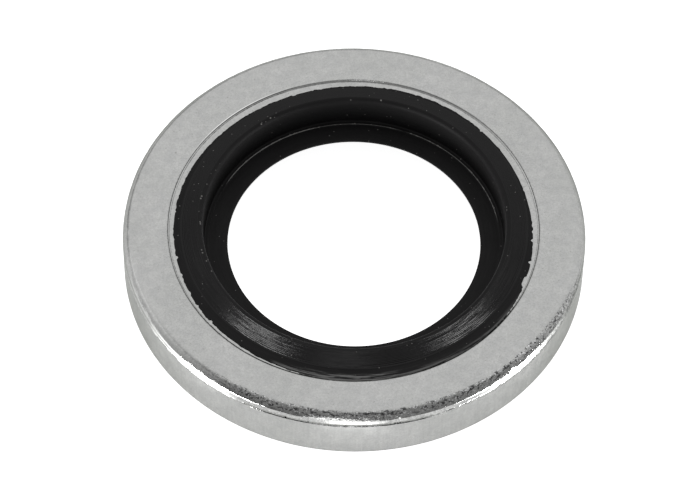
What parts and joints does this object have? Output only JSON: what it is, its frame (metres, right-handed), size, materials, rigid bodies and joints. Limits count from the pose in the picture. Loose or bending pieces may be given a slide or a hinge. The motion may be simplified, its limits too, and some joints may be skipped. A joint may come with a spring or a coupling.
{
  "type": "bonded sealing washer",
  "caption": "Flat sealing washer: a zinc-plated steel ring with a black rubber seal bonded inside it, a raised lip on each face and a thin centring web.",
  "frame": {"origin": "centre of the washer: on its axis, halfway between the two steel faces", "axes": "+Z along the washer's axis, out of the face whose outer edge has the punching's die roll; +X and +Y in the plane of the washer, with -Y on the side where the flash film reaches the coined land's wall"},
  "size_m": [0.0158, 0.0158, 0.0026],
  "materials": {
    "zinc_plated_steel": "bright zinc plate over a punched steel ring, satin, with a fine matte grain",
    "black_rubber": "smooth black moulded nitrile rubber with a low sheen"
  },
  "bodies": {
    "root": {"steel_ring": "zinc_plated_steel", "rubber_seal": "black_rubber"}
  },
  "joints": []
}
